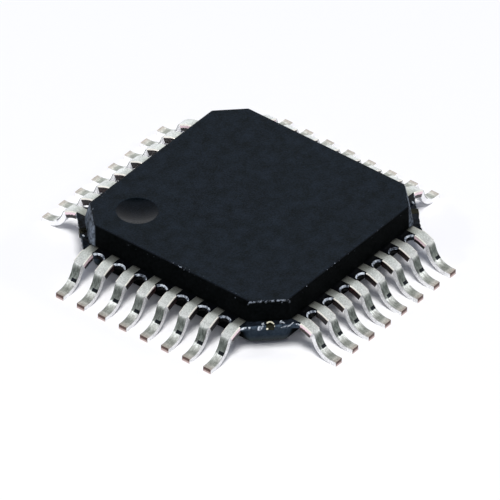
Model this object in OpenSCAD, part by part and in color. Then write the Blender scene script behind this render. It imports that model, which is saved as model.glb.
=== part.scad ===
// Thin quad flat pack: a moulded resin body with gull-wing leads on all four
// sides, and the die, die paddle and bond wires that the resin seals in.
// The origin is the middle of the seating plane, where the lead soles rest,
// and +Z points up. The dish that marks lead 1 is in the -X, +Y corner.
// Seen from above the leads count anticlockwise: down the -X side, along the
// -Y side, up the +X side and back along the +Y side. All sizes are in mm.

/* [Moulding] */
// Width of the moulding across the parting line
body_w = 4.9; // [4.7:0.05:5.1]
// Thickness of the moulding
body_t = 0.97; // [0.92:0.01:1.05]
// Gap between the moulding's underside and the board
standoff = 0.06; // [0.05:0.01:0.15]
// Draft angle of the side walls
draft = 13; // [8:0.5:15]
// Distance from the centre to a corner chamfer, at the parting line
corner_reach = 3.075; // [3.0:0.025:3.15]

/* [Dish] */
// Diameter of the dish that marks lead 1
dish_d = 0.81; // [0.5:0.05:1]
// Depth of the dish
dish_depth = 0.07; // [0.03:0.01:0.1]
// Distance from the parting line to the middle of the dish, along X and Y
dish_inset = 0.95; // [0.8:0.05:1.2]

/* [Leads] */
// Number of leads on each side
leads_per_side = 8; // [6:2:8]
// Distance from one lead to the next
pitch = 0.5; // [0.48:0.01:0.52]
// Span over the toes of opposite leads
lead_span = 7; // [6.9:0.05:7.3]
// Width of a lead
lead_w = 0.18; // [0.15:0.01:0.22]
// Thickness of the lead frame
lead_t = 0.11; // [0.09:0.01:0.13]
// Height of the lead frame's top face, which is also the parting line
frame_z = 0.63; // [0.58:0.01:0.68]
// Length of the flat sole at the toe
sole_l = 0.09; // [0.06:0.01:0.15]
// Inner radius of the bend above the sole
heel_r = 0.4; // [0.3:0.01:0.42]
// Angle of the steep part of a lead, from the horizontal
lead_angle = 72; // [68:1:76]
// Inner radius of the bend at the shoulder
knee_r = 0.03; // [0.02:0.005:0.06]
// Angle by which the shoulder leans down
shoulder_angle = 24; // [15:1:28]
// Inner radius of the first gentle bend outside the moulding
neck_r = 0.39; // [0.2:0.01:0.4]
// Distance from the moulding to the apex of that first bend
neck_l = 0.265; // [0.2:0.005:0.3]

/* [Trimmed bar] */
// Distance from the moulding to the bar that joined the leads
bar_gap = 0.21; // [0.18:0.01:0.24]
// Width of that bar
bar_w = 0.3; // [0.24:0.01:0.32]
// What is left of the bar on each side of a lead
stub = 0.032; // [0.02:0.002:0.05]
// How far the trimming leaves a burr below the lead
burr = 0.02; // [0.01:0.005:0.03]
// Reach of the resin web past each corner chamfer
corner_web = 0.125; // [0.08:0.005:0.15]
// Clearance between the scoop in each resin web and the trimmed stubs
scoop_gap = 0.003; // [0.002:0.001:0.01]
// How far the middle of the scoop lies outside the bar's inner edge
scoop_shift = 0.015; // [0:0.005:0.03]

/* [Inner fingers] */
// Distance from one finger tip to the next
tip_pitch = 0.33; // [0.3:0.01:0.35]
// Distance from the paddle's edge to the finger tips
tip_gap = 0.2; // [0.15:0.01:0.25]
// Straight length of each finger inside the moulding's edge, where the tie
// bars leave room for it
root_l = 0.3; // [0.2:0.05:0.4]
// Least gap between a tie bar and the root of the nearest finger
tie_gap = 0.1; // [0.06:0.01:0.14]

/* [Die paddle] */
// Width of the paddle
paddle_w = 2.7; // [2.6:0.05:2.8]
// How far the paddle lies below the lead frame
downset = 0.15; // [0.12:0.01:0.18]
// Distance from the paddle's corner to the crank in each of its tie bars
crank_l = 0.22; // [0.2:0.01:0.25]
// Width of the four tie bars
tie_w = 0.15; // [0.12:0.01:0.18]
// How far the cut end of each tie bar stands out of the resin web
tie_proud = 0.012; // [0.005:0.001:0.02]

/* [Die] */
// Width of the die
die_w = 1.8; // [1.6:0.05:2]
// Thickness of the die
die_t = 0.2; // [0.15:0.01:0.22]
// Thickness of the layer that bonds the die to the paddle
bond_t = 0.02; // [0.015:0.005:0.03]
// Margin of that layer around the die
bond_margin = 0.03; // [0.02:0.01:0.05]

/* [Bond wires] */
// Diameter of a bond wire
wire_d = 0.025; // [0.02:0.001:0.03]
// Diameter of the ball at the die end
ball_d = 0.06; // [0.055:0.005:0.07]
// Height of the ball
ball_t = 0.015; // [0.01:0.001:0.02]
// Distance from the die's edge to the ball's middle
pad_inset = 0.08; // [0.06:0.01:0.1]
// Distance from one ball to the next
pad_pitch = 0.2; // [0.18:0.01:0.21]
// Distance from a finger's tip to the end of its wire
stitch_l = 0.12; // [0.1:0.01:0.15]
// Height of the wire's loop above the ball
loop_h = 0.1; // [0.08:0.01:0.12]

/* [Hidden] */
lead_count = 4 * leads_per_side;
half_w = body_w / 2;
body_top = standoff + body_t;
wall_slope = tan(draft);
frame_low = frame_z - lead_t;
frame_mid = frame_z - lead_t / 2;
toe = lead_span / 2;
bar_in = half_w + bar_gap;
bar_out = bar_in + bar_w;
web_reach = corner_reach + corner_web;
tip = paddle_w / 2 + tip_gap;
last_edge = (leads_per_side - 1) / 2 * pitch + lead_w / 2;
root = max(half_w - root_l, last_edge + (tie_w / 2 + tie_gap) * sqrt(2));
paddle_top = frame_z - downset;
bond_top = paddle_top + bond_t;
die_top = bond_top + die_t;
sides = 4;

// The middle line of a lead turns at three places: the gentle bend outside
// the moulding, the knee at the end of the shoulder, and the heel. Heel and
// sole are set from the toe, so the shoulder takes up what is left. On a short
// lead the heel turns more tightly, so that the shoulder keeps its two bends.
neck_mid_r = neck_r + lead_t / 2;
knee_mid_r = knee_r + lead_t / 2;
neck_x = half_w + neck_l;
shoulder_fall = tan(shoulder_angle) / tan(lead_angle);
steep_run = (frame_mid - lead_t / 2) / tan(lead_angle);
shoulder_bends = neck_mid_r * tan(shoulder_angle / 2) +
    knee_mid_r * tan((lead_angle - shoulder_angle) / 2);
shoulder_least = shoulder_bends * cos(shoulder_angle);
heel_room = toe - sole_l - neck_x - steep_run - shoulder_least * (1 - shoulder_fall);
heel_bend = min((heel_r + lead_t / 2) * tan(lead_angle / 2), heel_room);
heel_mid_r = heel_bend / tan(lead_angle / 2);
heel_x = toe - sole_l - heel_bend;
knee_x = (heel_x - steep_run - neck_x * shoulder_fall) / (1 - shoulder_fall);
knee_z = frame_mid - (knee_x - neck_x) * tan(shoulder_angle);

lead_names = [for (i = [1:lead_count]) str("lead_", i < 10 ? "0" : "", i)];
wire_names = [for (s = [1:sides]) str("bond_wires_", s)];

eps = 0.01;       // how far a cut runs past the face that it opens
bend_steps = 8;   // flats in the widest bend of a lead
wire_sides = 6;   // flats round a bond wire
$fn = 64;

// Normal of a line that runs at angle a in a section plane.
function normal(a) = [-sin(a), cos(a)];

// Arc that turns a line from angle a0 to a1 round the corner at p, with the
// middle line at radius r, moved by off towards the line's upper side.
function bend(p, a0, a1, r, off, n) =
    let (turn = a1 > a0 ? 1 : -1,
         start = p - r * tan(abs(a1 - a0) / 2) * [cos(a0), sin(a0)],
         mid = start + turn * r * normal(a0))
    [for (k = [0:n]) mid + (off - turn * r) * normal(a0 + (a1 - a0) * k / n)];

// One face of a lead in section, from x0 out to the toe.
function lead_face(x0, off) = concat(
    [[x0, frame_mid + off]],
    bend([neck_x, frame_mid], 0, -shoulder_angle, neck_mid_r, off, bend_steps / 2),
    bend([knee_x, knee_z], -shoulder_angle, -lead_angle, knee_mid_r, off, bend_steps / 2),
    bend([heel_x, lead_t / 2], -lead_angle, 0, heel_mid_r, off, bend_steps),
    [[toe, lead_t / 2 + off]]);

function reversed(list) = [for (i = [len(list) - 1:-1:0]) list[i]];
function place_on_side(i, step) = (i - (leads_per_side - 1) / 2) * step;
function side_of(i) = floor(i / leads_per_side);
function order_on_side(i) = i - side_of(i) * leads_per_side;

// Turns a piece made along -X to side s, which counts anticlockwise.
module on_side(s) {
    rotate([0, 0, 90 * s]) children();
}

// Extrudes a section drawn in X and Z along Y, centred, w wide.
module slab(section, w) {
    rotate([90, 0, 0])
        translate([0, 0, -w / 2])
            linear_extrude(w)
                polygon(section);
}

// Section of the drafted moulding, reach wide each way at the parting line.
module drafted_slab(reach) {
    top = reach - (body_top - frame_z) * wall_slope;
    low = reach - (frame_z - standoff) * wall_slope;
    slab([[-low, standoff], [low, standoff], [reach, frame_z],
          [top, body_top], [-top, body_top], [-reach, frame_z]], 2 * body_w);
}

module drafted_block() {
    intersection() {
        drafted_slab(half_w);
        rotate([0, 0, 90]) drafted_slab(half_w);
        rotate([0, 0, 45]) drafted_slab(corner_reach);
        rotate([0, 0, -45]) drafted_slab(corner_reach);
    }
}

// Resin that filled the gaps of the lead frame out to the bar.
module resin_web() {
    scoop_r = (pitch - lead_w) / 2 - stub - scoop_gap;
    difference() {
        translate([0, 0, frame_low])
            linear_extrude(lead_t)
                intersection() {
                    square(2 * bar_in, center = true);
                    rotate(45) square(2 * web_reach, center = true);
                }
        for (s = [0:sides - 1], k = [1:leads_per_side - 1])
            on_side(s)
                translate([-bar_in - scoop_shift, place_on_side(k - 0.5, pitch), frame_low - eps])
                    cylinder(r = scoop_r, h = lead_t + 2 * eps);
    }
}

module dish() {
    ball_r = (pow(dish_d / 2, 2) + pow(dish_depth, 2)) / (2 * dish_depth);
    place = half_w - dish_inset;
    translate([-place, place, body_top - dish_depth + ball_r]) sphere(r = ball_r);
}

module mould_body() {
    color([0.12, 0.14, 0.17])
        difference() {
            union() {
                drafted_block();
                resin_web();
            }
            dish();
            for (i = [0:lead_count - 1]) lead(i);
            die_paddle();
            die_bond();
            die();
            for (s = [0:sides - 1]) bond_wires(s);
        }
}

// Lead i, counted from 0 at the dish. Its outer part is a bent strip, wider
// where the bar was trimmed off, and its finger fans in towards the die.
module lead(i) {
    k = leads_per_side - 1 - order_on_side(i);
    color([0.78, 0.79, 0.8])
        on_side(side_of(i)) {
            translate([0, place_on_side(k, pitch), 0])
                mirror([1, 0, 0]) {
                    formed_strip();
                    trimmed_stub();
                }
            finger(k);
        }
}

module formed_strip() {
    slab(concat(lead_face(root, lead_t / 2), reversed(lead_face(root, -lead_t / 2))), lead_w);
}

// What is left of the bar ends square to the shoulder, short of the steep part.
module trimmed_stub() {
    high = frame_z + eps;
    low = knee_z - lead_t;
    lean = tan(shoulder_angle);
    shoulder_top = frame_mid - (bar_out - neck_x) * lean + lead_t / 2 / cos(shoulder_angle);
    intersection() {
        slab(concat(lead_face(root, lead_t / 2), reversed(lead_face(root, -lead_t / 2 - burr))),
             lead_w + 2 * stub);
        difference() {
            slab([[bar_in, low], [bar_out - (shoulder_top - low) * lean, low],
                  [bar_out + (high - shoulder_top) * lean, high], [bar_in, high]], pitch);
            // the burr hangs from the cut edges alone
            translate([0, 0, -burr])
                slab(concat([[root, 0]], lead_face(root, -lead_t / 2), [[toe, 0]]), lead_w);
        }
    }
}

module finger(k) {
    y_tip = place_on_side(k, tip_pitch);
    y_root = place_on_side(k, pitch);
    translate([0, 0, frame_low])
        linear_extrude(lead_t)
            polygon([[-root - eps, y_root - lead_w / 2], [-root, y_root - lead_w / 2],
                     [-tip, y_tip - lead_w / 2], [-tip, y_tip + lead_w / 2],
                     [-root, y_root + lead_w / 2], [-root - eps, y_root + lead_w / 2]]);
}

// Square paddle that carries the die, on four cranked tie bars whose cut
// ends show at the corners of the moulding.
module die_paddle() {
    color([0.72, 0.5, 0.36]) {
        translate([-paddle_w / 2, -paddle_w / 2, paddle_top - lead_t])
            cube([paddle_w, paddle_w, lead_t]);
        for (s = [0:sides - 1]) rotate([0, 0, 45 + 90 * s]) tie_bar();
    }
}

module tie_bar() {
    start = paddle_w / 2;
    crank = paddle_w / sqrt(2) + crank_l;
    crank_mid = paddle_top - lead_t / 2;
    half_t = lead_t / 2;
    knee = half_t * tan(22.5);
    slab([[start, crank_mid - half_t], [crank + knee, crank_mid - half_t],
          [crank + downset + knee, frame_low], [web_reach + tie_proud, frame_low],
          [web_reach + tie_proud, frame_z], [crank + downset - knee, frame_z],
          [crank - knee, crank_mid + half_t], [start, crank_mid + half_t]], tie_w);
}

module die_bond() {
    bond_w = die_w + 2 * bond_margin;
    color([0.75, 0.75, 0.7])
        translate([-bond_w / 2, -bond_w / 2, paddle_top])
            cube([bond_w, bond_w, bond_t]);
}

module die() {
    color([0.35, 0.38, 0.42])
        translate([-die_w / 2, -die_w / 2, bond_top])
            cube([die_w, die_w, die_t]);
}

// The wires of one side, each from its ball on the die to its finger.
module bond_wires(s) {
    color([0.9, 0.75, 0.35])
        on_side(s)
            for (k = [0:leads_per_side - 1])
                bond_wire([-die_w / 2 + pad_inset, place_on_side(k, pad_pitch)],
                          [-tip - stitch_l, place_on_side(k, tip_pitch)]);
}

// A wire stands in the upright plane through both of its ends. Each ring of
// points lies on the mitre between two straight runs, and the last lies flat.
module bond_wire(from, to) {
    run = norm(to - from);
    along = (to - from) / run;
    across = [-along[1], along[0]];
    foot = die_top + ball_t;
    drop = frame_z - foot;
    path = [[0, 0], [0, loop_h * 0.7], [run * 0.12, loop_h],
            [run * 0.4, loop_h * 0.9], [run * 0.75, loop_h * 0.2], [run, drop]];
    n = len(path) - 1;
    slope = [for (j = [0:n - 1]) let (d = path[j + 1] - path[j]) atan2(d[1], d[0])];
    ring = [for (j = [0:n])
        j == 0 ? [slope[0], 1] :
        j == n ? [-90, 1 / abs(sin(slope[n - 1]))] :
        [(slope[j - 1] + slope[j]) / 2, 1 / cos((slope[j] - slope[j - 1]) / 2)]];
    points = [for (j = [0:n], m = [0:wire_sides - 1])
        let (a = 360 * m / wire_sides,
             u = wire_d / 2 * cos(a),
             v = wire_d / 2 * sin(a) * ring[j][1],
             q = path[j] + v * normal(ring[j][0]),
             p = from + along * q[0] + across * u)
        [p[0], p[1], foot + q[1]]];
    faces = concat(
        [[for (m = [0:wire_sides - 1]) m]],
        [for (j = [0:n - 1], m = [0:wire_sides - 1])
            let (a = j * wire_sides + m, b = j * wire_sides + (m + 1) % wire_sides)
            [a, a + wire_sides, b + wire_sides, b]],
        [[for (m = [wire_sides - 1:-1:0]) n * wire_sides + m]]);
    translate([from[0], from[1], die_top]) cylinder(d = ball_d, h = ball_t);
    polyhedron(points, faces);
}

mould_body();
for (i = [0:lead_count - 1])
    lead(i);
die_paddle();
die_bond();
die();
for (s = [0:sides - 1])
    bond_wires(s);
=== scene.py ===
import math
import random
import bmesh
import bpy
from mathutils import Matrix, Vector


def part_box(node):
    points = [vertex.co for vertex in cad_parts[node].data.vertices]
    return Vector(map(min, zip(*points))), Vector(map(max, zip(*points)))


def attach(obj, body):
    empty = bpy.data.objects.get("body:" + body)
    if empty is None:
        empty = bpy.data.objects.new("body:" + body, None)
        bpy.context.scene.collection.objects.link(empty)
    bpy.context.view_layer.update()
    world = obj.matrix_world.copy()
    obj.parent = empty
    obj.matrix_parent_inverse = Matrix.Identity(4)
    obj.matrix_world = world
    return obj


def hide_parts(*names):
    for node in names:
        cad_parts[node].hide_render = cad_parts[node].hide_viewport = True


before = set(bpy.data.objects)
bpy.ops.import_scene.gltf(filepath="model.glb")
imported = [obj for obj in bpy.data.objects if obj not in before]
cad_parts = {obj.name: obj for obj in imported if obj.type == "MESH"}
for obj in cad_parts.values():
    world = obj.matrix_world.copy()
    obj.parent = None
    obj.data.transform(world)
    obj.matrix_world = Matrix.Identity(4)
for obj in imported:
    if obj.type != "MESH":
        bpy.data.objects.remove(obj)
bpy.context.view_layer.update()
mm = 0.001
print("frame loaded")

# All shapes are drawn in millimetres and brought to metres as they are finished.
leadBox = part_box("lead_01")
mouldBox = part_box("mould_body")
toe = -leadBox[0].x / mm
leadTop = leadBox[1].z / mm
mouldTop = mouldBox[1].z / mm
mouldLow = mouldBox[0].z / mm
webReach = mouldBox[1].x / mm

mould = {
    "webWidth": 0.21,        # from the wall to the edge that the lead bar left
    "draft": 13.0,
    "cornerReach": 3.075,    # centre to a corner chamfer, at the parting line
    "cornerWeb": 0.125,      # web past the chamfer
    "edgeRound": 0.04,
    "webRound": 0.032,
    "ragged": 0.01,          # how far the torn rim of a corner web strays
    "dishWidth": 0.81,
    "dishDepth": 0.07,
    "dishInset": 0.95,
    "dishRound": 0.012,
    "scoopRadius": 0.118,
    "scoopShift": 0.05,
}
halfBody = webReach - mould["webWidth"]

lead = {
    "perSide": 8,
    "pitch": 0.5,
    "width": 0.18,
    "thickness": 0.11,
    "soleLength": 0.09,
    "heelRadius": 0.4,
    "steepAngle": 72.0,
    "kneeRadius": 0.03,
    "shoulderAngle": 24.0,
    "neckRadius": 0.39,
    "neckLength": 0.265,
    "rootDepth": 0.3,
    "tipPitch": 0.33,
    "tipReach": 1.55,
    "stub": 0.032,
    "stubTurn": 7.0,         # how far round the knee the stub goes, in degrees
    "burr": 0.035,
    "rollover": 0.022,       # the rounding that the punch left along a stub's upper edge
    "edgeRound": 0.008,
    "bendSteps": 12,
}


def finishPiece(name, bm, materials, replaced=(), smooth=True):
    bmesh.ops.recalc_face_normals(bm, faces=bm.faces[:])
    bmesh.ops.scale(bm, vec=(mm, mm, mm), verts=bm.verts[:])
    data = bpy.data.meshes.new(name)
    for face in bm.faces:
        face.smooth = smooth
    bm.to_mesh(data)
    bm.free()
    for material in materials:
        data.materials.append(material)
    piece = bpy.data.objects.new(name, data)
    bpy.context.scene.collection.objects.link(piece)
    if smooth:
        weighted = piece.modifiers.new("faceNormals", "WEIGHTED_NORMAL")
        weighted.keep_sharp = True
    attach(piece, "root")
    if replaced:
        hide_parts(*replaced)
    return piece


def combine(first, second, operation):
    # joins or cuts one closed bmesh with another and gives a new bmesh back
    objects = []
    for bm in (first, second):
        data = bpy.data.meshes.new("work")
        bmesh.ops.recalc_face_normals(bm, faces=bm.faces[:])
        bm.to_mesh(data)
        bm.free()
        work = bpy.data.objects.new("work", data)
        bpy.context.scene.collection.objects.link(work)
        objects.append(work)
    cut = objects[0].modifiers.new("cut", "BOOLEAN")
    cut.operation = operation
    cut.solver = "EXACT"
    cut.object = objects[1]
    depsgraph = bpy.context.evaluated_depsgraph_get()
    made = bpy.data.meshes.new_from_object(objects[0].evaluated_get(depsgraph))
    result = bmesh.new()
    result.from_mesh(made)
    for work in objects:
        data = work.data
        bpy.data.objects.remove(work)
        bpy.data.meshes.remove(data)
    bpy.data.meshes.remove(made)
    bmesh.ops.remove_doubles(result, verts=result.verts[:], dist=1e-5)
    return result


def roundEdges(bm, edges, width, segments):
    bmesh.ops.bevel(bm, geom=edges, offset=width, offset_type="OFFSET", segments=segments,
                    profile=0.5, affect="EDGES", material=-1, clamp_overlap=True)


def sharpEdges(bm, least, test=None):
    limit = math.radians(least)
    return [edge for edge in bm.edges
            if len(edge.link_faces) == 2 and edge.is_convex
            and edge.calc_face_angle(0) > limit and (test is None or test(edge))]


def chamferedSquare(bm, half, reach, height):
    made = bmesh.ops.create_grid(bm, x_segments=1, y_segments=1, size=half,
                                 matrix=Matrix.Translation((0, 0, height)))
    leg = (half * math.sqrt(2) - reach) * math.sqrt(2)
    bmesh.ops.bevel(bm, geom=made["verts"], offset=leg, offset_type="OFFSET", segments=1,
                    profile=0.5, affect="VERTICES", material=-1, clamp_overlap=False)
    return max(bm.faces, key=lambda face: face.calc_area())


def draftedBlock():
    slope = math.tan(math.radians(mould["draft"]))
    bm = bmesh.new()
    parting = chamferedSquare(bm, halfBody, mould["cornerReach"], leadTop)
    parting.normal_update()
    if parting.normal.z < 0:
        parting.normal_flip()
    lower = bmesh.ops.duplicate(bm, geom=[parting])
    lowerFace = next(item for item in lower["geom"] if isinstance(item, bmesh.types.BMFace))
    lowerFace.normal_flip()
    rise = mouldTop - leadTop
    fall = leadTop - mouldLow
    bmesh.ops.inset_region(bm, faces=[parting], thickness=rise * slope, depth=0, use_boundary=True,
                           use_even_offset=True)
    bmesh.ops.translate(bm, vec=(0, 0, rise), verts=parting.verts[:])
    bmesh.ops.inset_region(bm, faces=[lowerFace], thickness=fall * slope, depth=0, use_boundary=True,
                           use_even_offset=True)
    bmesh.ops.translate(bm, vec=(0, 0, -fall), verts=lowerFace.verts[:])
    bmesh.ops.remove_doubles(bm, verts=bm.verts[:], dist=1e-4)
    bmesh.ops.recalc_face_normals(bm, faces=bm.faces[:])
    roundEdges(bm, sharpEdges(bm, 15), mould["edgeRound"], 4)
    return bm


def cutDish(bm):
    depth = mould["dishDepth"]
    radius = (pow(mould["dishWidth"] / 2, 2) + depth * depth) / (2 * depth)
    place = halfBody - mould["dishInset"]
    ball = bmesh.new()
    middle = Matrix.Translation((-place, place, mouldTop - depth + radius))
    bmesh.ops.create_uvsphere(ball, u_segments=96, v_segments=160, radius=radius, matrix=middle)
    bm = combine(bm, ball, "DIFFERENCE")
    centre = Vector((-place, place))
    rim = mould["dishWidth"] / 2

    def onRim(edge):
        return all(abs((vert.co.xy - centre).length - rim) < 0.01 and vert.co.z > mouldTop - 0.004
                   for vert in edge.verts)
    roundEdges(bm, sharpEdges(bm, 8, onRim), mould["dishRound"], 3)
    return bm


def leadPlaces():
    # every lead's turn about Z and its place along its side
    count = lead["perSide"]
    for side in range(4):
        for order in range(count):
            yield side, order, (order - (count - 1) / 2) * lead["pitch"]


def cornerDistance(co):
    # how far out a point lies towards its nearest corner
    return (abs(co.x) + abs(co.y)) / math.sqrt(2)


def tearCorners(bm, reach):
    # the corner webs were torn from the frame, which left a ragged rim
    def onCorner(edge):
        return all(abs(cornerDistance(vert.co) - reach) < 1e-3 for vert in edge.verts)
    rims = [edge for edge in bm.edges
            if onCorner(edge) and abs(edge.verts[0].co.z - edge.verts[1].co.z) < 1e-4]
    bmesh.ops.subdivide_edges(bm, edges=rims, cuts=16, use_grid_fill=True)
    dice = random.Random(7)
    for vert in bm.verts:
        if abs(cornerDistance(vert.co) - reach) < 1e-3 and len(vert.link_edges) > 2:
            if not any(abs(abs(value) - webReach) < 1e-3 for value in vert.co.xy):
                inward = Vector((-math.copysign(1, vert.co.x), -math.copysign(1, vert.co.y), 0)).normalized()
                vert.co += inward * dice.uniform(0, 2) * mould["ragged"]


def webPlate():
    thickness = lead["thickness"]
    reach = mould["cornerReach"] + mould["cornerWeb"]
    bm = bmesh.new()
    face = chamferedSquare(bm, webReach, reach, leadTop)
    made = bmesh.ops.extrude_face_region(bm, geom=[face])
    bmesh.ops.translate(bm, vec=(0, 0, -thickness),
                        verts=[item for item in made["geom"] if isinstance(item, bmesh.types.BMVert)])
    tearCorners(bm, reach)
    cutters = bmesh.new()
    middle = leadTop - thickness / 2
    for side, order, along in leadPlaces():
        turn = Matrix.Rotation(math.radians(180 + 90 * side), 4, "Z")
        slot = Matrix.Translation((webReach, along, middle)) @ Matrix.Diagonal((0.8, lead["width"], 0.4, 1))
        bmesh.ops.create_cube(cutters, size=1, matrix=turn @ slot)
        if order + 1 < lead["perSide"]:
            scoop = Matrix.Translation((webReach + mould["scoopShift"], along + lead["pitch"] / 2, middle))
            bmesh.ops.create_cone(cutters, cap_ends=True, segments=48, radius1=mould["scoopRadius"],
                                  radius2=mould["scoopRadius"], depth=0.4, matrix=turn @ scoop)
    bm = combine(bm, cutters, "DIFFERENCE")

    def onScoop(edge):
        # the upper rim of a scoop, measured from the nearest scoop's centre
        for vert in edge.verts:
            wide, deep = abs(vert.co.x), abs(vert.co.y)
            along = min(wide, deep) / lead["pitch"]
            offset = (along - round(along)) * lead["pitch"]
            away = math.hypot(max(wide, deep) - webReach - mould["scoopShift"], offset)
            if abs(away - mould["scoopRadius"]) > 1e-3 or vert.co.z < leadTop - 1e-4:
                return False
        return True
    for face in bm.faces:
        face.material_index = 1
    bmesh.ops.recalc_face_normals(bm, faces=bm.faces[:])
    rims = [edge for edge in bm.edges if onScoop(edge)]
    made = bmesh.ops.bevel(bm, geom=rims, offset=mould["webRound"], offset_type="OFFSET", segments=3,
                           profile=0.5, affect="EDGES", material=-1, clamp_overlap=False)
    # the scoop rims take the painted highlight
    for face in made["faces"]:
        face.material_index = 2
    return bm


def makeMould():
    bm = cutDish(draftedBlock())
    bm = combine(bm, webPlate(), "UNION")
    # painted shade: the walls and the dish take darker copies of the top's resin
    for face in bm.faces:
        if face.material_index == 0 and face.normal.z < 0.7:
            face.material_index = 3
        elif face.material_index == 0 and face.calc_center_median().z < mouldTop - 0.003:
            face.material_index = 4
    # the Boolean keeps 0 for the block, 1 for the web and 2 for the scoop rims, with their painted highlight;
    # 3 and 4 are set above
    materials = [resinMaterial("mouldingResin", resin), flashMaterial(), rimHighlightMaterial(),
                 resinMaterial("shadedWallResin", shadedWallResin), resinMaterial("shadedDishResin", shadedDishResin)]
    return finishPiece("moulding", bm, materials, ["mould_body"])


flakes = [
    # Torn resin round a tie bar, laid one by one for the front corner: place along the corner, reach,
    # height, length, breadth and turn.
    (-0.50, 3.196, 0.585, 0.15, 0.040, 20),
    (-0.39, 3.196, 0.600, 0.06, 0.045, 80),
    (-0.18, 3.196, 0.590, 0.17, 0.080, 48),
    (-0.13, 3.170, 0.625, 0.08, 0.050, 70),
    (0.20, 3.150, 0.632, 0.10, 0.040, 70),
    (0.26, 3.160, 0.630, 0.09, 0.034, -35),
    (0.27, 3.200, 0.580, 0.15, 0.024, 16),
    (0.38, 3.196, 0.610, 0.15, 0.024, 34),
    (0.53, 3.190, 0.605, 0.10, 0.040, -12),
    (0.60, 3.180, 0.610, 0.08, 0.034, -20),
]


def cornerFrame(along, reach, height):
    # axes: along the front corner, up and inwards at 45 degrees, then outwards and up
    side = Vector((1, -1, 0)).normalized()
    lean = Vector((1, 1, math.sqrt(2))).normalized()
    out = side.cross(lean)
    if out.z < 0:
        out.negate()
    place = side * along + Vector((-1, -1, 0)).normalized() * reach + Vector((0, 0, height))
    return Matrix.Translation(place) @ Matrix((side, lean, out)).transposed().to_4x4()


def makeCornerFlash():
    # all the flakes at the front and back corners, and a few at the other two
    material = flakeGlintMaterial()
    few = 4
    for corner in range(4):
        dice = random.Random(40 + corner)
        bm = bmesh.new()
        for along, reach, height, length, breadth, tilt in flakes[::1 if corner % 2 == 0 else few]:
            if corner:
                along += dice.uniform(-0.06, 0.06)
                tilt += dice.uniform(-40, 40)
            shape = cornerFrame(along, reach, height) @ Matrix.Rotation(math.radians(tilt), 4, "Z") \
                @ Matrix.Diagonal((length / 2, breadth / 2, 0.014, 1))
            made = bmesh.ops.create_icosphere(bm, subdivisions=2, radius=1, matrix=shape)
            for vert in made["verts"]:
                vert.co += Vector([dice.uniform(-0.005, 0.005) for axis in range(3)])
        turned = Matrix.Rotation(math.radians(90 * corner), 3, "Z")
        bmesh.ops.rotate(bm, cent=(0, 0, 0), matrix=turned, verts=bm.verts[:])
        finishPiece(f"corner_flash_{corner + 1}", bm, [material], smooth=False)


tieEnd = {
    # the sheared end of a tie bar, seen as a curl of metal with a bead at its foot
    "radius": 0.075,
    "wire": 0.016,
    "sweep": 155,
    "reach": 3.185,
    "height": 0.600,
    "bead": 0.024,
    "startTurn": -15,
}


def makeTieBurrs():
    # only the front and back corners have one
    material = curlHighlightMaterial()
    for corner in (0, 2):
        bm = bmesh.new()
        frameMatrix = cornerFrame(0, tieEnd["reach"], tieEnd["height"])
        start = frameMatrix @ Matrix.Rotation(math.radians(tieEnd["startTurn"]), 4, "Z") \
            @ Matrix.Translation((tieEnd["radius"], 0, 0)) @ Matrix.Rotation(math.radians(90), 4, "X")
        made = bmesh.ops.create_circle(bm, cap_ends=True, radius=tieEnd["wire"], segments=10, matrix=start)
        geom = [*made["verts"], *bm.edges, *bm.faces]
        bmesh.ops.spin(bm, geom=geom, cent=frameMatrix.translation, axis=frameMatrix.col[2].xyz,
                       dvec=(0, 0, 0), angle=math.radians(tieEnd["sweep"]), steps=20, use_merge=False,
                       use_duplicate=False)
        bead = cornerFrame(-0.055, tieEnd["reach"] + 0.02, tieEnd["height"] - 0.045)
        bmesh.ops.create_icosphere(bm, subdivisions=2, radius=tieEnd["bead"], matrix=bead)
        turned = Matrix.Rotation(math.radians(90 * corner), 3, "Z")
        bmesh.ops.rotate(bm, cent=(0, 0, 0), matrix=turned, verts=bm.verts[:])
        finishPiece(f"tie_bar_burr_{corner + 1}", bm, [material])


def push(bm, face, offset):
    made = bmesh.ops.extrude_face_region(bm, geom=[face, *face.edges, *face.verts])["geom"]
    bmesh.ops.translate(bm, vec=offset, verts=[item for item in made if isinstance(item, bmesh.types.BMVert)])
    return next(item for item in made if isinstance(item, bmesh.types.BMFace))


def turn(bm, face, radius, degrees, steps):
    # bends the bar about a line that lies radius below it, or above it if degrees is negative
    face.normal_update()
    ahead = face.normal.copy()
    side = Vector((0, 1, 0))
    down = ahead.cross(side)
    if down.z > 0:
        down.negate()
    centre = face.calc_center_median() + down * radius * (1 if degrees > 0 else -1)
    made = bmesh.ops.spin(bm, geom=[face, *face.edges, *face.verts], cent=centre, axis=side, dvec=(0, 0, 0),
                          angle=math.radians(degrees), steps=steps, use_merge=False, use_duplicate=False)
    return next(item for item in made["geom_last"] if isinstance(item, bmesh.types.BMFace))


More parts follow.
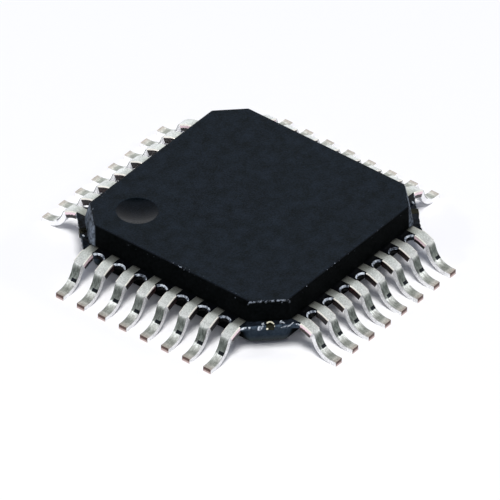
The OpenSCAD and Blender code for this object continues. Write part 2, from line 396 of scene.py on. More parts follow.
def sweepLead(order, burnishAndGlint, seed):
    thickness = lead["thickness"]
    half = thickness / 2
    middle = leadTop - half
    neckR = lead["neckRadius"] + half
    kneeR = lead["kneeRadius"] + half
    heelR = lead["heelRadius"] + half
    shoulder = math.radians(lead["shoulderAngle"])
    steep = math.radians(lead["steepAngle"])
    neckX = halfBody + lead["neckLength"]
    heelX = toe - lead["soleLength"] - heelR * math.tan(steep / 2)
    fall = math.tan(shoulder) / math.tan(steep)
    kneeX = (heelX - (middle - half) / math.tan(steep) - neckX * fall) / (1 - fall)
    kneeZ = middle - (kneeX - neckX) * math.tan(shoulder)
    neckRun = neckR * math.tan(shoulder / 2)
    kneeRun = kneeR * math.tan((steep - shoulder) / 2)
    heelRun = heelR * math.tan(steep / 2)
    root = halfBody - lead["rootDepth"]
    place = order - (lead["perSide"] - 1) / 2
    rootY = place * lead["pitch"]
    tipY = place * lead["tipPitch"]

    bm = bmesh.new()
    level = bm.verts.layers.float.new("level")
    across = bm.verts.layers.float.new("across")
    section = Matrix(((0, 0, 1, lead["tipReach"]), (lead["width"], 0, 0, tipY),
                      (0, thickness, 0, middle), (0, 0, 0, 1)))
    made = bmesh.ops.create_grid(bm, x_segments=1, y_segments=1, size=0.5, matrix=section)
    for vert in made["verts"]:
        vert[level] = 1.0 if vert.co.z > middle else 0.0
        vert[across] = 1.0 if vert.co.y > tipY else 0.0
    face = bm.faces[:][0]
    face.normal_update()
    if face.normal.x < 0:
        face.normal_flip()
    face = push(bm, face, (root - lead["tipReach"], rootY - tipY, 0))
    face = push(bm, face, (halfBody - root, 0, 0))
    face = push(bm, face, (neckX - neckRun - halfBody, 0, 0))
    # the gentle bend is cut where the bar began
    first = math.degrees(math.asin((webReach - neckX + neckRun) / neckR))
    face = turn(bm, face, neckR, first, 2)
    face = turn(bm, face, neckR, lead["shoulderAngle"] - first, 4)
    face = push(bm, face, shoulderStep(neckX, kneeX, shoulder, neckRun, kneeRun))
    face = turn(bm, face, kneeR, lead["stubTurn"], 2)
    stubEnd = face.calc_center_median().x
    face = turn(bm, face, kneeR, lead["steepAngle"] - lead["shoulderAngle"] - lead["stubTurn"], 5)
    run = Vector((heelX - heelRun * math.cos(steep), 0, half + heelRun * math.sin(steep)))
    here = face.calc_center_median()
    face = push(bm, face, (run.x - here.x, 0, run.z - here.z))
    face = turn(bm, face, heelR, -lead["steepAngle"], lead["bendSteps"])
    face = push(bm, face, (toe - face.calc_center_median().x, 0, 0))
    face.material_index = 2
    addStubs(bm, level, across, rootY, stubEnd)
    shine = bm.verts.layers.float.new("burnishAndGlint")
    mark = bm.verts.layers.float.new("seed")
    for vert in bm.verts:
        vert[shine] = burnishAndGlint
        vert[mark] = seed
    bmesh.ops.recalc_face_normals(bm, faces=bm.faces[:])
    roundEdges(bm, sharpEdges(bm, 50), lead["edgeRound"], 3)
    return bm


def shoulderStep(neckX, kneeX, shoulder, neckRun, kneeRun):
    length = (kneeX - neckX) / math.cos(shoulder) - neckRun - kneeRun
    return (length * math.cos(shoulder), 0, -length * math.sin(shoulder))


def addStubs(bm, level, across, rootY, stubEnd):
    for sign in (-1, 1):
        bm.normal_update()
        edge = rootY + sign * lead["width"] / 2
        sides = [face for face in bm.faces if abs(face.calc_center_median().y - edge) < 1e-4
                 and webReach - 0.002 < face.calc_center_median().x < stubEnd + 0.002
                 and abs(face.normal.y) > 0.99 and face.calc_center_median().z > leadTop / 2]
        rims = {edge for face in sides for edge in face.edges}
        made = bmesh.ops.extrude_face_region(bm, geom=[*sides, *rims])["geom"]
        verts = [item for item in made if isinstance(item, bmesh.types.BMVert)]
        bmesh.ops.translate(bm, vec=(0, sign * lead["stub"], 0), verts=verts)
        for item in made:
            if isinstance(item, bmesh.types.BMFace):
                item.material_index = 1
        rims = [edge for edge in bm.edges if edge.verts[0] in verts and edge.verts[1] in verts
                and edge.verts[0][level] > 0.5 and edge.verts[1][level] > 0.5]
        low = [vert for vert in verts if vert[level] < 0.5]
        bmesh.ops.translate(bm, vec=(0, 0, -lead["burr"]), verts=low)
        made = bmesh.ops.bevel(bm, geom=rims, offset=lead["rollover"], offset_type="OFFSET", segments=3,
                               profile=0.5, affect="EDGES", material=-1, clamp_overlap=False)
        for face in made["faces"]:
            face.material_index = 3


def makeLeads():
    materials = [platingMaterial(), trimmedMaterial(), toeMaterial(), burnishedMaterial()]
    dice = random.Random(11)
    for side, order, along in leadPlaces():
        # the punch left a taller shiny band on some leads, at random; the tallest, beside a corner, is a
        # painted glint
        burnishAndGlint = 0.5 if order in (0, lead["perSide"] - 1) else dice.choice([0.02, 0.05, 0.1, 0.16])
        bm = sweepLead(order, burnishAndGlint, dice.random())
        spin = Matrix.Rotation(math.radians(180 + 90 * side), 4, "Z")
        bmesh.ops.transform(bm, matrix=spin, verts=bm.verts[:])
        number = side * lead["perSide"] + order + 1
        finishPiece(f"formed_lead_{number:02d}", bm, materials, [f"lead_{number:02d}"])


def newMaterial(name):
    material = bpy.data.materials.new(name)
    material.use_nodes = True
    nodes = material.node_tree.nodes
    return material, nodes, material.node_tree.links, nodes["Principled BSDF"]


def addNode(nodes, kind, **settings):
    node = nodes.new(kind)
    for key, value in settings.items():
        setattr(node, key, value)
    return node


def mapRange(nodes, links, value, low, high):
    node = nodes.new("ShaderNodeMapRange")
    node.inputs["From Min"].default_value = low
    node.inputs["From Max"].default_value = high
    links.new(value, node.inputs["Value"])
    return node.outputs["Result"]


def product(nodes, links, first, second):
    node = addNode(nodes, "ShaderNodeMath", operation="MULTIPLY")
    links.new(first, node.inputs[0])
    links.new(second, node.inputs[1])
    return node.outputs[0]


def mixed(nodes, links, factor, first, second, blendType="MIX"):
    # the factor and both colours are sockets or plain values
    node = addNode(nodes, "ShaderNodeMix", data_type="RGBA", blend_type=blendType)
    for name, value in (("Factor", factor), ("A", first), ("B", second)):
        if isinstance(value, bpy.types.NodeSocket):
            links.new(value, node.inputs[name])
        else:
            node.inputs[name].default_value = value if name == "Factor" else (*value, 1)
    return node.outputs["Result"]


def placeParts(nodes, links):
    # the object's own X, Y and Z
    split = nodes.new("ShaderNodeSeparateXYZ")
    links.new(nodes.new("ShaderNodeTexCoord").outputs["Object"], split.inputs[0])
    return split.outputs


def leaning(nodes, links, place, direction):
    # how far a point lies along a direction
    node = addNode(nodes, "ShaderNodeVectorMath", operation="DOT_PRODUCT")
    node.inputs[1].default_value = direction
    links.new(place, node.inputs[0])
    return node.outputs["Value"]


def attribute(nodes, name):
    return addNode(nodes, "ShaderNodeAttribute", attribute_name=name).outputs["Fac"]


def toned(nodes, links, grain, stops):
    # a ramp that follows the grain's tone
    node = ramp(nodes, stops)
    links.new(grain.outputs["Tone"], node.inputs["Fac"])
    return node.outputs["Color"]


def ramp(nodes, stops):
    node = nodes.new("ShaderNodeValToRGB")
    elements = node.color_ramp.elements
    while len(elements) > len(stops):
        elements.remove(elements[-1])
    while len(elements) < len(stops):
        elements.new(0.5)
    for element, (place, colour) in zip(elements, stops):
        element.position = place
        element.color = (*colour, 1)
    return node


def linear(red, green, blue):
    # a screen colour, 0 to 255, as the scene's own linear value
    return tuple(pow((value / 255 + 0.055) / 1.055, 2.4) if value > 10 else value / 255 / 12.92
                 for value in (red, green, blue))


def grainGroup():
    group = bpy.data.node_groups.get("grain")
    if group:
        return group
    group = bpy.data.node_groups.new("grain", "ShaderNodeTree")
    group.interface.new_socket("Size", in_out="INPUT", socket_type="NodeSocketFloat")
    group.interface.new_socket("Tone", in_out="OUTPUT", socket_type="NodeSocketFloat")
    group.interface.new_socket("Height", in_out="OUTPUT", socket_type="NodeSocketFloat")
    nodes, links = group.nodes, group.links
    entry = nodes.new("NodeGroupInput")
    leave = nodes.new("NodeGroupOutput")
    place = nodes.new("ShaderNodeTexCoord")
    scale = addNode(nodes, "ShaderNodeVectorMath", operation="SCALE")
    invert = addNode(nodes, "ShaderNodeMath", operation="DIVIDE")
    invert.inputs[0].default_value = 1.0
    links.new(entry.outputs["Size"], invert.inputs[1])
    links.new(place.outputs["Object"], scale.inputs[0])
    links.new(invert.outputs[0], scale.inputs["Scale"])
    fine = addNode(nodes, "ShaderNodeTexNoise")
    fine.inputs["Scale"].default_value = 1.0
    fine.inputs["Detail"].default_value = 3.0
    broad = addNode(nodes, "ShaderNodeTexNoise")
    broad.inputs["Scale"].default_value = 0.12
    broad.inputs["Detail"].default_value = 2.0
    links.new(scale.outputs[0], fine.inputs["Vector"])
    links.new(scale.outputs[0], broad.inputs["Vector"])
    blend = addNode(nodes, "ShaderNodeMix", data_type="FLOAT")
    blend.inputs["Factor"].default_value = 0.4
    links.new(fine.outputs["Fac"], blend.inputs["A"])
    links.new(broad.outputs["Fac"], blend.inputs["B"])
    links.new(blend.outputs["Result"], leave.inputs["Tone"])
    links.new(fine.outputs["Fac"], leave.inputs["Height"])
    return group


def grainNode(nodes, size):
    node = nodes.new("ShaderNodeGroup")
    node.node_tree = grainGroup()
    node.inputs["Size"].default_value = size
    return node


def addBump(nodes, links, source, shader, strength, distance):
    bump = nodes.new("ShaderNodeBump")
    bump.inputs["Strength"].default_value = strength
    bump.inputs["Distance"].default_value = distance
    links.new(source, bump.inputs["Height"])
    links.new(bump.outputs["Normal"], shader.inputs["Normal"])


resin = {
    "dark": linear(0, 7, 12),
    "light": linear(22, 31, 41),
    "chipAndGlint": linear(128, 136, 146),
    "grain": 0.00003,
    "roughness": 0.28,
    "specular": 0.055,
}

# painted shade: the walls are a darker copy of the top's resin, as they get less light
shadedWallResin = {
    "dark": linear(0, 1, 1),
    "light": linear(7, 9, 10),
    "chipAndGlint": linear(128, 136, 146),
    "grain": 0.00006,
    "roughness": 0.5,
    "specular": 0.014,
    "floorLit": [linear(26, 36, 46), linear(56, 68, 80)],   # painted light: paler below the parting line at the corners, as lit from the floor
    "foot": linear(66, 72, 72),                         # painted light: paler still at the lower edge
    "grazingSheen": linear(116, 126, 138),                      # painted reflection: a pale sheen on the chamfers at -X +Y and +X -Y
}

# painted shade: the dish is a darker copy of the top's resin; its sheen is painted in dishSheen
shadedDishResin = {
    "dark": linear(2, 5, 6),
    "light": linear(14, 19, 24),
    "chipAndGlint": linear(128, 136, 146),
    "grain": 0.00003,
    "roughness": 0.14,
    "specular": 0.12,
    "tint": (0.72, 0.76, 1.0, 1),
    # The sheen fades along a fixed heading, X and Y, which was chosen for the studio camera's view.
    "heading": (0.789, 0.614),
    "sheen": [(0.0, 255), (0.42, 245), (0.62, 205), (0.86, 180), (0.95, 40)],
}


def resinMaterial(name, kind):
    material, nodes, links, shader = newMaterial(name)
    grain = grainNode(nodes, kind["grain"])
    tone = toned(nodes, links, grain, [(0.36, kind["dark"]), (0.66, kind["light"])])
    # pale chips along the rim, and a painted glint row at the front corner
    chipsGlintsNode = nodes.new("ShaderNodeGroup")
    chipsGlintsNode.node_tree = chipsAndGlintsGroup()
    chipsGlintsNode.inputs["Half"].default_value = topHalf() * mm
    chipsGlintsNode.inputs["Corner"].default_value = (mould["cornerReach"] - halfBody + topHalf()) * mm
    chipsGlintsNode.inputs["Top"].default_value = mouldTop * mm
    withChipsAndGlints = mixed(nodes, links, chipsGlintsNode.outputs["ChipsGlints"], tone, kind["chipAndGlint"])
    if kind is shadedWallResin:
        withChipsAndGlints = cornerGrazingSheen(nodes, links, grain, cornerFloorLight(nodes, links, grain, withChipsAndGlints))
    links.new(withChipsAndGlints, shader.inputs["Base Color"])
    shader.inputs["Roughness"].default_value = kind["roughness"]
    if kind is shadedDishResin:
        dishSheen(nodes, links, shader)
    else:
        shader.inputs["Specular IOR Level"].default_value = kind["specular"]
    addBump(nodes, links, grain.outputs["Height"], shader, 0.5, 0.000006)
    return material


def cornerOutward(nodes, links):
    # how far out a point lies towards its nearest corner
    spread = addNode(nodes, "ShaderNodeVectorMath", operation="ABSOLUTE")
    links.new(nodes.new("ShaderNodeTexCoord").outputs["Object"], spread.inputs[0])
    return leaning(nodes, links, spread.outputs[0], (math.sqrt(0.5), math.sqrt(0.5), 0))


def dishSheen(nodes, links, shader):
    # painted: the dish shines less towards its +X +Y side, and nearly not at all at that rim
    along, over = shadedDishResin["heading"]
    place = nodes.new("ShaderNodeTexCoord")
    lean = leaning(nodes, links, place.outputs["Object"], (along, over, 0))
    middle = (halfBody - mould["dishInset"]) * (over - along)
    rim = mould["dishWidth"] / 2
    level = ramp(nodes, [(share, linear(tone, tone, tone)) for share, tone in shadedDishResin["sheen"]])
    links.new(mapRange(nodes, links, lean, (middle - rim) * mm, (middle + rim) * mm), level.inputs["Fac"])
    shader.inputs["Specular Tint"].default_value = shadedDishResin["tint"]
    scaled = addNode(nodes, "ShaderNodeMath", operation="MULTIPLY")
    scaled.inputs[1].default_value = shadedDishResin["specular"]
    links.new(level.outputs["Color"], scaled.inputs[0])
    links.new(scaled.outputs[0], shader.inputs["Specular IOR Level"])


def cornerFloorLight(nodes, links, grain, above):
    # painted light: the chamfers are paler below the parting line, as lit from the floor, and palest near
    # their lower edge
    height = placeParts(nodes, links)["Z"]
    start = leadTop - 0.1
    drop = mapRange(nodes, links, height, (start + 0.03) * mm, start * mm)
    foot = mapRange(nodes, links, height, (mouldLow + 0.16) * mm, (mouldLow + 0.04) * mm)
    dark, light = shadedWallResin["floorLit"]
    floorLit = toned(nodes, links, grain, [(0.3, dark), (0.7, light)])
    floorLitFoot = mixed(nodes, links, foot, floorLit, shadedWallResin["foot"])
    corner = mapRange(nodes, links, cornerOutward(nodes, links), 2.86 * mm, 2.94 * mm)
    return mixed(nodes, links, product(nodes, links, drop, corner), above, floorLitFoot)


def cornerGrazingSheen(nodes, links, grain, below):
    # painted reflection: the chamfers at -X +Y and +X -Y are a grey sheen, in patches
    place = nodes.new("ShaderNodeTexCoord").outputs["Object"]
    span = addNode(nodes, "ShaderNodeMath", operation="ABSOLUTE")
    links.new(leaning(nodes, links, place, (math.sqrt(0.5), -math.sqrt(0.5), 0)), span.inputs[0])
    reach = mould["cornerReach"]
    near = mapRange(nodes, links, span.outputs[0], (reach - 0.12) * mm, (reach - 0.09) * mm)
    patchy = mapRange(nodes, links, grain.outputs["Tone"], 0.36, 0.6)
    return mixed(nodes, links, product(nodes, links, near, patchy), below, shadedWallResin["grazingSheen"])


def topHalf():
    return halfBody - (mouldTop - leadTop) * math.tan(math.radians(mould["draft"]))


def chipsAndGlintsGroup():
    # small pale chips along the rim of the top, thickest at the front corner, which is -X -Y, where the dense
    # row is a painted glint
    group = bpy.data.node_groups.get("chipsAndGlints")
    if group:
        return group
    group = bpy.data.node_groups.new("chipsAndGlints", "ShaderNodeTree")
    for name in ("Half", "Corner", "Top"):
        group.interface.new_socket(name, in_out="INPUT", socket_type="NodeSocketFloat")
    group.interface.new_socket("ChipsGlints", in_out="OUTPUT", socket_type="NodeSocketFloat")
    nodes, links = group.nodes, group.links
    entry = nodes.new("NodeGroupInput")
    leave = nodes.new("NodeGroupOutput")

    def math2(operation, first, second):
        node = addNode(nodes, "ShaderNodeMath", operation=operation)
        for socket, value in zip(node.inputs, (first, second)):
            if isinstance(value, (int, float)):
                socket.default_value = value
            elif value is not None:
                links.new(value, socket)
        return node.outputs[0]

    def between(value, low, high):
        node = nodes.new("ShaderNodeMapRange")
        node.inputs["From Min"].default_value = low
        node.inputs["From Max"].default_value = high
        links.new(value, node.inputs["Value"])
        return node.outputs["Result"]

    place = nodes.new("ShaderNodeTexCoord").outputs["Object"]
    split = nodes.new("ShaderNodeSeparateXYZ")
    links.new(place, split.inputs[0])
    wide = math2("ABSOLUTE", split.outputs["X"], None)
    deep = math2("ABSOLUTE", split.outputs["Y"], None)
    sideGap = math2("SUBTRACT", math2("MAXIMUM", wide, deep), entry.outputs["Half"])
    outward = math2("MULTIPLY", math2("ADD", wide, deep), math.sqrt(0.5))
    cornerGap = math2("SUBTRACT", outward, entry.outputs["Corner"])
    rim = between(math2("MAXIMUM", sideGap, cornerGap), -0.00009, -0.00001)
    height = between(math2("SUBTRACT", split.outputs["Z"], entry.outputs["Top"]), -0.00009, -0.00002)
    # painted highlight: the dense row along the front corner's top edge
    forward = math2("MULTIPLY", math2("ADD", split.outputs["X"], split.outputs["Y"]), -math.sqrt(0.5))
    front = math2("SUBTRACT", forward, entry.outputs["Corner"])
    frontGlintRow = math2("MULTIPLY", between(front, -0.000035, -0.00002), between(front, 0.000005, -0.00001))
    specks = addNode(nodes, "ShaderNodeTexNoise")
    specks.inputs["Scale"].default_value = 22000
    specks.inputs["Detail"].default_value = 1.0
    links.new(place, specks.inputs["Vector"])
    sparse = between(specks.outputs["Fac"], 0.72, 0.78)
    dense = between(specks.outputs["Fac"], 0.42, 0.60)
    onRim = math2("MULTIPLY", math2("MULTIPLY", rim, height), sparse)
    links.new(math2("MAXIMUM", onRim, math2("MULTIPLY", math2("MULTIPLY", frontGlintRow, height), dense)),
              leave.inputs["ChipsGlints"])
    return group


flash = {
    "dark": linear(4, 6, 9),
    "light": linear(28, 35, 44),
    "grain": 0.00006,
    "roughness": 0.2,
    "specular": 0.02,
    # painted highlight on the scoop rims: pale, and half bright
    "rimHighlight": linear(206, 214, 222),
    "rimHalfHighlight": linear(84, 92, 104),
    "web": linear(0, 1, 3),                             # the thin webs between the leads, painted darkest as their shade
    "rim": [linear(26, 36, 46), linear(74, 88, 102)],   # painted light: the upright faces of the corner webs are painted paler than their tops
}


def flashMaterial():
    material, nodes, links, shader = newMaterial("flashResin")
    grain = grainNode(nodes, flash["grain"])
    tone = toned(nodes, links, grain, [(0.42, flash["dark"]), (0.66, flash["light"])])
    # painted shade: the thin webs between the leads are the darkest
    corner = mapRange(nodes, links, cornerOutward(nodes, links), 2.95 * mm, 3.1 * mm)
    height = placeParts(nodes, links)["Z"]
    # painted light: the corner webs are paler below their top
    rim = mapRange(nodes, links, height, leadTop * mm, (leadTop - 0.015) * mm)
    dark, light = flash["rim"]
    edge = toned(nodes, links, grain, [(0.38, dark), (0.66, light)])
    cornerWebLit = mixed(nodes, links, rim, tone, edge)
    links.new(mixed(nodes, links, corner, flash["web"], cornerWebLit), shader.inputs["Base Color"])
    shader.inputs["Roughness"].default_value = flash["roughness"]
    shader.inputs["Specular IOR Level"].default_value = flash["specular"]
    addBump(nodes, links, grain.outputs["Height"], shader, 0.5, 0.000008)
    return material


def rimHighlightMaterial():
    # torn resin rims: black, with broken pale patches that are a painted highlight
    material, nodes, links, shader = newMaterial("scoopRimHighlight")
    grain = grainNode(nodes, 0.00005)
    tone = toned(nodes, links, grain, [(0.36, flash["dark"]), (0.45, flash["rimHalfHighlight"]), (0.60, flash["rimHighlight"])])
    links.new(tone, shader.inputs["Base Color"])
    shader.inputs["Roughness"].default_value = 0.25
    shader.inputs["Specular IOR Level"].default_value = 0.2
    addBump(nodes, links, grain.outputs["Height"], shader, 0.4, 0.000008)
    return material


def flakeGlintMaterial():
    # torn resin splinters, painted pale in random patches as a painted highlight
    material, nodes, links, shader = newMaterial("splinterGlints")
    grain = grainNode(nodes, 0.00003)
    stops = [(0.34, linear(52, 60, 70)), (0.46, linear(132, 140, 150)), (0.6, linear(222, 230, 236))]
    links.new(toned(nodes, links, grain, stops), shader.inputs["Base Color"])
    shader.inputs["Roughness"].default_value = 0.4
    shader.inputs["Specular IOR Level"].default_value = 0.3
    addBump(nodes, links, grain.outputs["Height"], shader, 0.4, 0.000008)
    return material


def curlHighlightMaterial():
    # painted highlight: the curl is painted near white, partly as its plating and partly as its highlight
    material, nodes, links, shader = newMaterial("shearedCurlHighlight")
    grain = grainNode(nodes, 0.00003)
    tone = toned(nodes, links, grain, [(0.35, linear(214, 208, 178)), (0.6, linear(250, 248, 236))])
    links.new(tone, shader.inputs["Base Color"])
    shader.inputs["Metallic"].default_value = 0.5
    shader.inputs["Roughness"].default_value = 0.3
    addBump(nodes, links, grain.outputs["Height"], shader, 0.3, 0.000004)
    return material


plating = {
    # Run along the lead from the wall, as a share of the whole run to the toe's lower edge. The tones
    # were set to match the look of the near leads.
    # painted light and shade: the tones along the run stand for the lead's light and reflections, bright on
    # the flats and the heel, dark at the wall, on the steep part and across the foot
    "stops": [
        (0.000, linear(70, 72, 68)),
        (0.025, linear(140, 142, 136)),
        (0.090, linear(156, 160, 154)),
        (0.130, linear(176, 180, 176)),
        (0.190, linear(188, 193, 190)),
        (0.270, linear(196, 200, 198)),
        (0.350, linear(204, 207, 206)),
        (0.395, linear(150, 154, 152)),
        (0.430, linear(112, 117, 112)),
        (0.490, linear(92, 98, 93)),
        (0.545, linear(100, 106, 101)),
        (0.640, linear(112, 117, 114)),
        (0.660, linear(200, 204, 202)),
        (0.700, linear(206, 209, 206)),
        (0.745, linear(182, 185, 180)),
        (0.800, linear(142, 146, 140)),
        (0.850, linear(148, 151, 145)),
        (0.880, linear(186, 186, 180)),
        (0.935, linear(168, 160, 152)),
    ],
    "patch": (0.600, 0.660),    # a painted dark reflection in the heel, as shares of the same run
    "grain": 0.00003,
    # painted light: the lead's sides are near white, standing for their reflection of the bright floor
    "side": linear(240, 240, 240),
    "farGain": 1.4,             # painted lightness towards +X +Y, away from the camera; 1 is none
    # the heel's painted dark reflection
    "darkTone": linear(16, 20, 24),
}


def runNode(nodes, links):
    # outward distance less height grows steadily from the wall to the toe
    place = placeParts(nodes, links)
    parts = []
    for axis in ("X", "Y"):
        size = addNode(nodes, "ShaderNodeMath", operation="ABSOLUTE")
        links.new(place[axis], size.inputs[0])
        parts.append(size)
    outward = addNode(nodes, "ShaderNodeMath", operation="MAXIMUM")
    links.new(parts[0].outputs[0], outward.inputs[0])
    links.new(parts[1].outputs[0], outward.inputs[1])
    run = addNode(nodes, "ShaderNodeMath", operation="SUBTRACT")
    links.new(outward.outputs[0], run.inputs[0])
    links.new(place["Z"], run.inputs[1])
    return mapRange(nodes, links, run.outputs[0], (halfBody - leadTop) * mm, toe * mm)


def farLightness(nodes, links):
    # painted: the tin gets lighter towards +X +Y, by up to farGain
    place = nodes.new("ShaderNodeTexCoord").outputs["Object"]
    node = nodes.new("ShaderNodeMapRange")
    node.inputs["From Min"].default_value = -1.2 * mm
    node.inputs["From Max"].default_value = 1.6 * mm
    node.inputs["To Min"].default_value = 1.0
    node.inputs["To Max"].default_value = plating["farGain"]
    links.new(leaning(nodes, links, place, (math.sqrt(0.5), math.sqrt(0.5), 0)), node.inputs["Value"])
    return node.outputs["Result"]


def streakNode(nodes, links, run):
    # drawing marks that follow the lead from the body to its foot
    vector = nodes.new("ShaderNodeCombineXYZ")
    links.new(attribute(nodes, "across"), vector.inputs["X"])
    links.new(run, vector.inputs["Y"])
    links.new(attribute(nodes, "seed"), vector.inputs["Z"])
    stretch = addNode(nodes, "ShaderNodeVectorMath", operation="MULTIPLY")
    stretch.inputs[1].default_value = (5.0, 12.0, 40.0)
    links.new(vector.outputs[0], stretch.inputs[0])
    noise = addNode(nodes, "ShaderNodeTexNoise")
    noise.inputs["Scale"].default_value = 1.0
    noise.inputs["Detail"].default_value = 3.0
    links.new(stretch.outputs[0], noise.inputs["Vector"])
    return noise.outputs["Fac"]


def platingMaterial():
    material, nodes, links, shader = newMaterial("tinPlating")
    run = runNode(nodes, links)
    grain = grainNode(nodes, plating["grain"])
    wander = addNode(nodes, "ShaderNodeMath", operation="MULTIPLY_ADD")
    wander.inputs[1].default_value = 0.02
    links.new(grain.outputs["Tone"], wander.inputs[0])
    links.new(run, wander.inputs[2])
    # painted light and shade along the run, from the stops
    zones = ramp(nodes, [(place + 0.01, colour) for place, colour in plating["stops"]])
    links.new(wander.outputs[0], zones.inputs["Fac"])

    # the heel's painted dark reflection covers most of the width, and its edges wander
    first, last = plating["patch"]
    patch = product(nodes, links, mapRange(nodes, links, wander.outputs[0], first + 0.008, first + 0.014),
                    mapRange(nodes, links, wander.outputs[0], last + 0.014, last + 0.008))
    patch = product(nodes, links, patch, mapRange(nodes, links, attribute(nodes, "across"), 0.30, 0.36))
    heelDarkened = mixed(nodes, links, patch, zones.outputs["Color"], plating["darkTone"])

    streaks = ramp(nodes, [(0.34, (0.62, 0.62, 0.62)), (0.5, (1.0, 1.0, 1.0)), (0.66, (1.4, 1.42, 1.45))])
    links.new(streakNode(nodes, links, run), streaks.inputs["Fac"])
    steepPart = product(nodes, links, mapRange(nodes, links, run, 0.36, 0.44),
                        mapRange(nodes, links, run, 1.0, 0.62))
    marked = mixed(nodes, links, steepPart, heelDarkened, streaks.outputs["Color"], "MULTIPLY")

    # painted light: the sides take the near-white side colour, the top the run's tones
    onTop = mapRange(nodes, links, attribute(nodes, "level"), 0.8, 0.95)
    blend = mixed(nodes, links, onTop, plating["side"], marked)
    speckle = toned(nodes, links, grain, [(0.36, (0.74, 0.74, 0.74)), (0.64, (1.25, 1.25, 1.25))])
    tint = mixed(nodes, links, 1.0, blend, speckle, "MULTIPLY")
    lit = addNode(nodes, "ShaderNodeVectorMath", operation="SCALE")
    links.new(tint, lit.inputs[0])
    links.new(farLightness(nodes, links), lit.inputs["Scale"])
    links.new(lit.outputs[0], shader.inputs["Base Color"])
    bare = nodes.new("ShaderNodeMapRange")
    bare.inputs["To Min"].default_value = 0.4
    bare.inputs["To Max"].default_value = 0.9
    links.new(onTop, bare.inputs["Value"])
    links.new(bare.outputs["Result"], shader.inputs["Metallic"])
    shader.inputs["Roughness"].default_value = 0.38
    addBump(nodes, links, grain.outputs["Height"], shader, 0.35, 0.000004)
    return material


def levelMaterial(name, stops, metallic, roughness):
    # colour by height across the lead's thickness, from 0 at its lower face to 1 at its upper one
    material, nodes, links, shader = newMaterial(name)
    grain = grainNode(nodes, 0.00004)
    wander = addNode(nodes, "ShaderNodeMath", operation="MULTIPLY_ADD")
    wander.inputs[1].default_value = 0.3
    links.new(grain.outputs["Tone"], wander.inputs[0])
    links.new(attribute(nodes, "level"), wander.inputs[2])
    bands = ramp(nodes, [(min(place + 0.15, 1), colour) for place, colour in stops])
    links.new(wander.outputs[0], bands.inputs["Fac"])
    links.new(bands.outputs["Color"], shader.inputs["Base Color"])
    shader.inputs["Metallic"].default_value = metallic
    shader.inputs["Roughness"].default_value = roughness
    addBump(nodes, links, grain.outputs["Height"], shader, 0.3, 0.000005)
    return material


def trimmedMaterial():
    # a cut end of the dam bar: a burnished band on top, painted near white as a painted highlight, and torn
    # metal below it, painted near black as a painted dark reflection
    material, nodes, links, shader = newMaterial("trimmedEdge")
    grain = grainNode(nodes, 0.00003)
    height = addNode(nodes, "ShaderNodeMath", operation="ADD")
    links.new(attribute(nodes, "level"), height.inputs[0])
    links.new(attribute(nodes, "burnishAndGlint"), height.inputs[1])
    wander = addNode(nodes, "ShaderNodeMath", operation="MULTIPLY_ADD")
    wander.inputs[1].default_value = 0.4
    links.new(grain.outputs["Tone"], wander.inputs[0])
    links.new(height.outputs[0], wander.inputs[2])
    glintBand = mapRange(nodes, links, wander.outputs[0], 1.16, 1.22)
    stops = [(0.40, linear(6, 5, 5)), (0.54, linear(22, 10, 10)), (0.66, linear(72, 28, 27))]
    tornDarkReflection = toned(nodes, links, grain, stops)
    links.new(mixed(nodes, links, glintBand, tornDarkReflection, linear(255, 226, 232)), shader.inputs["Base Color"])
    shader.inputs["Metallic"].default_value = 0.1
    shader.inputs["Roughness"].default_value = 0.35
    addBump(nodes, links, grain.outputs["Height"], shader, 0.4, 0.000006)
    return material


def burnishedMaterial():
    return plainMetal("burnishedEdge", linear(255, 252, 244), 0.00003, 0.3)


def toeMaterial():
    stops = [(0.0, linear(205, 186, 182)), (0.3, linear(190, 168, 162)), (0.5, linear(98, 74, 66)),
             (0.8, linear(80, 60, 54))]
    return levelMaterial("toeCut", stops, 0.4, 0.45)


def plainMetal(name, colour, grainSize, roughness, metallic=1.0):
    material, nodes, links, shader = newMaterial(name)
    grain = grainNode(nodes, grainSize)
    tone = toned(nodes, links, grain, [(0.3, tuple(value * 0.75 for value in colour)), (0.7, colour)])
    links.new(tone, shader.inputs["Base Color"])
    shader.inputs["Metallic"].default_value = metallic
    shader.inputs["Roughness"].default_value = roughness
    addBump(nodes, links, grain.outputs["Height"], shader, 0.3, 0.000004)
    return material


def frameMaterial():
    # bare copper inside, stained dark where the tie bars come out
    material, nodes, links, shader = newMaterial("copperFrame")
    grain = grainNode(nodes, 0.00003)
    copper = toned(nodes, links, grain, [(0.3, linear(168, 120, 88)), (0.7, linear(206, 160, 126))])
    darkTone = toned(nodes, links, grain, [(0.35, linear(10, 11, 8)), (0.65, linear(44, 44, 22))])
    place = nodes.new("ShaderNodeTexCoord")
    length = addNode(nodes, "ShaderNodeVectorMath", operation="LENGTH")
    links.new(place.outputs["Object"], length.inputs[0])
    reach = mould["cornerReach"]
    outside = mapRange(nodes, links, length.outputs["Value"], (reach - 0.02) * mm, (reach + 0.02) * mm)
    links.new(mixed(nodes, links, outside, copper, darkTone), shader.inputs["Base Color"])
    shader.inputs["Metallic"].default_value = 0.8
    shader.inputs["Roughness"].default_value = 0.45
    addBump(nodes, links, grain.outputs["Height"], shader, 0.3, 0.000004)
    return material


def dressInside():
    looks = {
        "die_paddle": frameMaterial(),
        "die_bond": plainMetal("dieAttach", linear(190, 190, 184), 0.00002, 0.7, 0.6),
        "die": plainMetal("silicon", linear(70, 74, 84), 0.0002, 0.12, 0.4),
    }
    gold = plainMetal("goldWire", linear(240, 200, 110), 0.00001, 0.2)
    for name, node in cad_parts.items():
        material = looks.get(name, gold if name.startswith("bond_wires") else None)
        if material:
            node.data.materials.clear()
            node.data.materials.append(material)


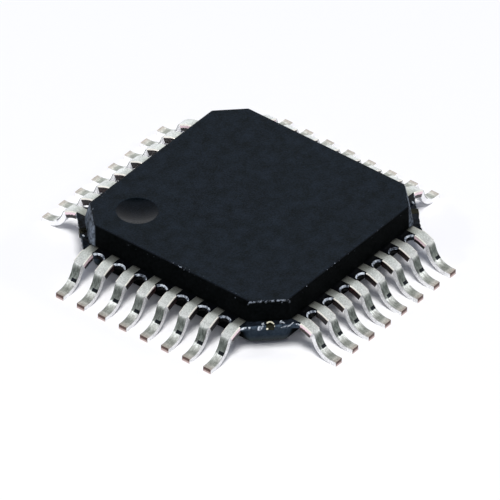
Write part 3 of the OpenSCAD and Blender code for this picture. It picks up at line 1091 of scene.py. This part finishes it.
studio = {
    "floorSize": 3.0,
    "floorColour": (0.92, 0.925, 0.94),
    "floorGlow": 0.012,         # the floor's own faint light, for the camera and reflections
    "skyColour": (0.66, 0.74, 1.0),
    "skyStrength": 0.2,
    "lamps": [
        # name, azimuth, elevation, distance, size, brightness, colour, seen in reflections
        ("topKey", -53, 70, 0.30, 0.10, 27.0, (1.0, 0.985, 0.97), False),
        ("leftGlint", -128, 39, 0.20, 0.014, 40.0, (1.0, 1.0, 1.0), True),
        ("rightGlint", 46, 28, 0.20, 0.014, 40.0, (1.0, 0.97, 0.95), True),
    ],
}


def seenDirectly(nodes, links):
    # 1 where the camera, a reflection or a view through glass meets the surface
    path = nodes.new("ShaderNodeLightPath")
    first = addNode(nodes, "ShaderNodeMath", operation="MAXIMUM")
    second = addNode(nodes, "ShaderNodeMath", operation="MAXIMUM")
    links.new(path.outputs["Is Camera Ray"], first.inputs[0])
    links.new(path.outputs["Is Glossy Ray"], first.inputs[1])
    links.new(first.outputs[0], second.inputs[0])
    links.new(path.outputs["Is Transmission Ray"], second.inputs[1])
    return second


def makeFloor():
    bm = bmesh.new()
    bmesh.ops.create_grid(bm, x_segments=1, y_segments=1, size=studio["floorSize"] / 2)
    data = bpy.data.meshes.new("studio_floor")
    bm.to_mesh(data)
    bm.free()
    floor = bpy.data.objects.new("studio_floor", data)
    bpy.context.scene.collection.objects.link(floor)
    material, nodes, links, shader = newMaterial("paleFloor")
    shader.inputs["Base Color"].default_value = (*studio["floorColour"], 1)
    shader.inputs["Roughness"].default_value = 1.0
    shader.inputs["Specular IOR Level"].default_value = 0.0
    shader.inputs["Emission Color"].default_value = (1, 1, 1, 1)
    glow = addNode(nodes, "ShaderNodeMath", operation="MULTIPLY")
    glow.inputs[1].default_value = studio["floorGlow"]
    links.new(seenDirectly(nodes, links).outputs[0], glow.inputs[0])
    links.new(glow.outputs[0], shader.inputs["Emission Strength"])
    data.materials.append(material)


def makeWorld():
    world = bpy.data.worlds.new("studio")
    bpy.context.scene.world = world
    world.use_nodes = True
    nodes, links = world.node_tree.nodes, world.node_tree.links
    sky = nodes["Background"]
    sky.inputs["Color"].default_value = (*studio["skyColour"], 1)
    sky.inputs["Strength"].default_value = studio["skyStrength"]
    white = nodes.new("ShaderNodeBackground")
    white.inputs["Color"].default_value = (1, 1, 1, 1)
    white.inputs["Strength"].default_value = 1.0
    mix = nodes.new("ShaderNodeMixShader")
    links.new(seenDirectly(nodes, links).outputs[0], mix.inputs[0])
    links.new(sky.outputs[0], mix.inputs[1])
    links.new(white.outputs[0], mix.inputs[2])
    links.new(mix.outputs[0], nodes["World Output"].inputs["Surface"])


def towards(azimuth, elevation):
    a, e = math.radians(azimuth), math.radians(elevation)
    return Vector((math.sin(a) * math.cos(e), -math.cos(a) * math.cos(e), math.sin(e)))


def makeLamps():
    for name, azimuth, elevation, distance, size, brightness, colour, mirrored in studio["lamps"]:
        data = bpy.data.lights.new(name, "AREA")
        data.shape = "SQUARE"
        data.size = size
        data.energy = brightness * math.pi * size * size
        data.color = colour
        lamp = bpy.data.objects.new(name, data)
        lamp.visible_glossy = mirrored
        back = towards(azimuth, elevation)
        lamp.location = back * distance
        lamp.rotation_euler = back.to_track_quat("Z", "Y").to_euler()
        bpy.context.scene.collection.objects.link(lamp)


camera = {
    "azimuth": -53.02,
    "elevation": 37.556,
    "roll": 1.571,
    "distance": 0.275,
    "lens": 1054.41,
    "aim": (0.0, 0.0, 0.0005),
    "aimRight": 0.0000201,
    "aimUp": -0.0004419,
}


def makeCamera():
    back = towards(camera["azimuth"], camera["elevation"])
    level = Vector((math.cos(math.radians(camera["azimuth"])), math.sin(math.radians(camera["azimuth"])), 0))
    upright = back.cross(level)
    roll = math.radians(camera["roll"])
    right = level * math.cos(roll) + upright * math.sin(roll)
    up = upright * math.cos(roll) - level * math.sin(roll)
    data = bpy.data.cameras.new("studioCamera")
    data.sensor_width = 36.0
    data.lens = camera["lens"]
    data.clip_start = 0.01
    data.clip_end = 10.0
    view = bpy.data.objects.new("studioCamera", data)
    place = Vector(camera["aim"]) + back * camera["distance"]
    place += right * camera["aimRight"] + up * camera["aimUp"]
    view.matrix_world = Matrix.Translation(place) @ Matrix((right, up, back)).transposed().to_4x4()
    bpy.context.scene.collection.objects.link(view)
    bpy.context.scene.camera = view


makeCamera()
makeWorld()
makeLamps()
makeFloor()
print("studio ready")
makeMould()
makeCornerFlash()
makeTieBurrs()
print("moulding made")
makeLeads()
print("leads made")
dressInside()
print("inner pieces dressed")

bpy.context.scene.view_settings.view_transform = "Standard"
